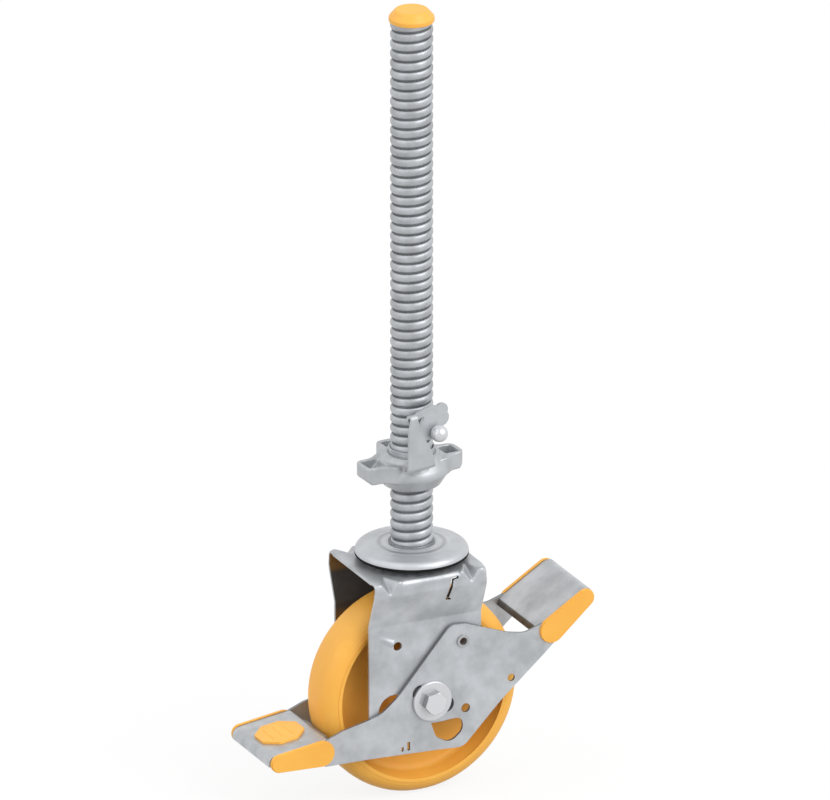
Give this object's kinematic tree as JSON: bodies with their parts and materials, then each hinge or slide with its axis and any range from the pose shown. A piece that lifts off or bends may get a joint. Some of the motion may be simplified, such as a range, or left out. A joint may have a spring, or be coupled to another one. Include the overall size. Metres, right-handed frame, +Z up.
{
  "type": "scaffold castor",
  "caption": "Swivelling scaffold castor with an orange wheel, a two-pedal rocker brake, and a coarse threaded spindle with a wing nut and tube catch.",
  "frame": {"origin": "on the spindle axis, at the foot of the spindle, on the top face of the swivel disc", "axes": "+Z up along the spindle, Y along the wheel's axle, -X towards the stop pedal"},
  "size_m": [0.3186, 0.1084, 0.7395],
  "materials": {
    "galvanised": "galvanised, soft mottling",
    "cast_zinc": "galvanised casting",
    "steel": "plain steel",
    "ball_steel": "ground and greased",
    "zinc_bright": "bright zinc plating",
    "orange_plastic": "moulded, satin",
    "orange_tread": "moulded polyurethane, satin",
    "white_plastic": "satin"
  },
  "bodies": {
    "spindle": {"spindle_tube": "galvanised", "end_cap": "orange_plastic", "foot_weld": "galvanised", "swivel_disc": "galvanised", "kingpin": "steel", "kingpin_nut": "steel", "lower_race": "galvanised", "upper_balls": "ball_steel", "lower_balls": "ball_steel"},
    "fork": {"fork": "galvanised", "pivot_rivets": "steel", "pivot_spacers": "steel", "axle_bolt": "zinc_bright", "axle_nut": "zinc_bright", "shoulder_washers": "zinc_bright", "axle_sleeve": "steel"},
    "wheel": {"wheel": "orange_tread", "hub_bushes": "white_plastic"},
    "brake": {"brake_plate_near": "galvanised", "brake_plate_far": "galvanised", "stop_pedal": "galvanised", "release_pedal": "galvanised", "stop_pedal_caps": "orange_plastic", "release_pedal_caps": "orange_plastic", "stop_badge": "orange_plastic", "brake_shoe": "steel"},
    "nut_insert": {"thread_insert": "cast_zinc"},
    "nut": {"wing_nut": "cast_zinc", "catch_hinge_pin": "steel"},
    "catch": {"catch_lever": "cast_zinc", "catch_pin": "zinc_bright"}
  },
  "joints": [
    {"name": "swivel", "type": "hinge", "parent": "spindle", "child": "fork", "pos_m": [0, 0, 0], "axis": [0, 0, 1], "continuous": true},
    {"name": "wheel_spin", "type": "hinge", "parent": "fork", "child": "wheel", "pos_m": [0, 0, -0.138], "axis": [0, 1, 0], "continuous": true},
    {"name": "brake_rocker", "type": "hinge", "parent": "fork", "child": "brake", "pos_m": [0.031, 0, -0.0866], "axis": [0, 1, 0], "range_deg": [0, 14.5]},
    {"name": "nut_lift", "type": "slide", "parent": "spindle", "child": "nut_insert", "axis": [0, 0, 1], "range_m": [-0.0522, 0.402]},
    {"name": "nut_spin", "type": "hinge", "parent": "nut_insert", "child": "nut", "pos_m": [0, 0, 0], "axis": [0, 0, 1], "range_deg": [-2070, 15910]},
    {"name": "catch_swing", "type": "hinge", "parent": "nut", "child": "catch", "pos_m": [0.00643, -0.029, 0.0845], "axis": [0.9763, 0.2164, 0], "range_deg": [0, 50]}
  ],
  "couplings": [
    {"joint": "nut_spin", "follows": "nut_lift", "rad_per_m": 690.46}
  ]
}
